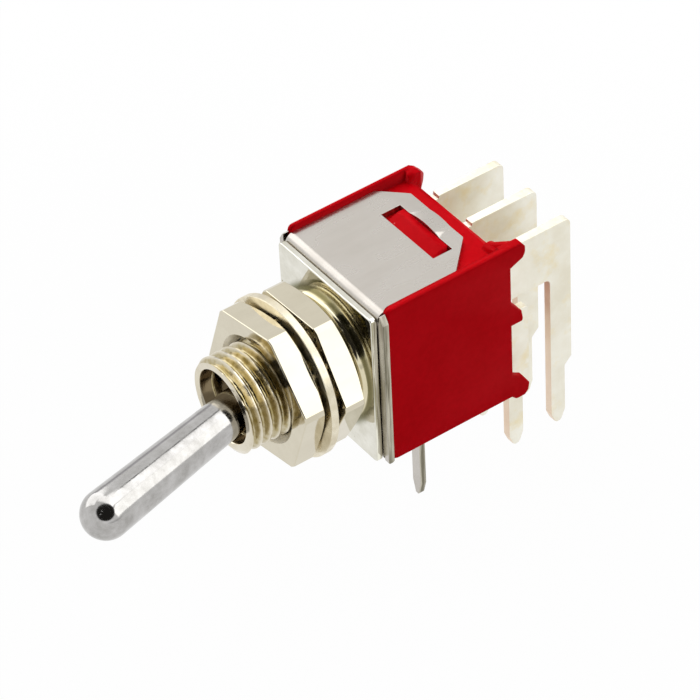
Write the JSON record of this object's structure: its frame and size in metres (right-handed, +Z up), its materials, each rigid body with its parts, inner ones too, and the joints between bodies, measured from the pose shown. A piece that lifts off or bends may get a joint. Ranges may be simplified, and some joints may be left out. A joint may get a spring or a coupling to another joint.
{
  "type": "toggle switch",
  "caption": "Subminiature toggle switch: chromed bat lever in a threaded bushing with nuts, red moulded case in a folded steel frame, right-angle circuit-board pins.",
  "frame": {"origin": "on the bushing's axis, in the plane of the front nut's outer face", "axes": "+Y runs back along the bushing's axis to the terminals, +Z is up and away from the board pins, +X is right seen from the lever's end"},
  "size_m": [0.0082, 0.0273, 0.0136],
  "materials": {
    "nickel_plate": "nickel plated, polished",
    "stainless": "satin rolled sheet",
    "red_plastic": "satin moulded",
    "chrome_plate": "bright plated",
    "tin_plate": "dull plated, stained",
    "silver": "satin",
    "silver_strip": "silver plated strip",
    "spring_steel": "drawn wire",
    "nylon": "natural moulded"
  },
  "bodies": {
    "case": {"bushing": "nickel_plate", "panel_nuts": "nickel_plate", "lock_washer": "nickel_plate", "frame": "stainless", "housing": "red_plastic", "upper_left_terminal": "tin_plate", "upper_common_terminal": "tin_plate", "upper_right_terminal": "tin_plate", "lower_left_terminal": "tin_plate", "lower_common_terminal": "tin_plate", "lower_right_terminal": "tin_plate", "contact_pad_upper_left": "silver", "contact_pad_upper_right": "silver", "contact_pad_lower_left": "silver", "contact_pad_lower_right": "silver"},
    "lever_body": {"lever": "chrome_plate", "detent_spring": "spring_steel"},
    "plunger_body": {"plunger": "nylon"},
    "upper_rocker_body": {"upper_rocker": "silver_strip"},
    "lower_rocker_body": {"lower_rocker": "silver_strip"}
  },
  "joints": [
    {"name": "lever_toggle", "type": "hinge", "parent": "case", "child": "lever_body", "pos_m": [0, 0.00059, 0], "axis": [0, 0, 1], "range_deg": [-26.88, 0]},
    {"name": "plunger_slide", "type": "slide", "parent": "lever_body", "child": "plunger_body", "axis": [-0.2324, 0.9726, 0], "range_m": [-0.0004, 0], "stiffness_N_per_m": 500, "springref_m": 0.001, "deforming": ["detent_spring"]},
    {"name": "upper_rocker_tilt", "type": "hinge", "parent": "case", "child": "upper_rocker_body", "pos_m": [0, 0.00946, 0.00205], "axis": [0, 0, 1], "range_deg": [0, 14]},
    {"name": "lower_rocker_tilt", "type": "hinge", "parent": "case", "child": "lower_rocker_body", "pos_m": [0, 0.00946, -0.00205], "axis": [0, 0, 1], "range_deg": [0, 14]}
  ],
  "couplings": [
    {"joint": "upper_rocker_tilt", "follows": "lever_toggle", "ratio": -0.52083},
    {"joint": "lower_rocker_tilt", "follows": "lever_toggle", "ratio": -0.52083}
  ]
}
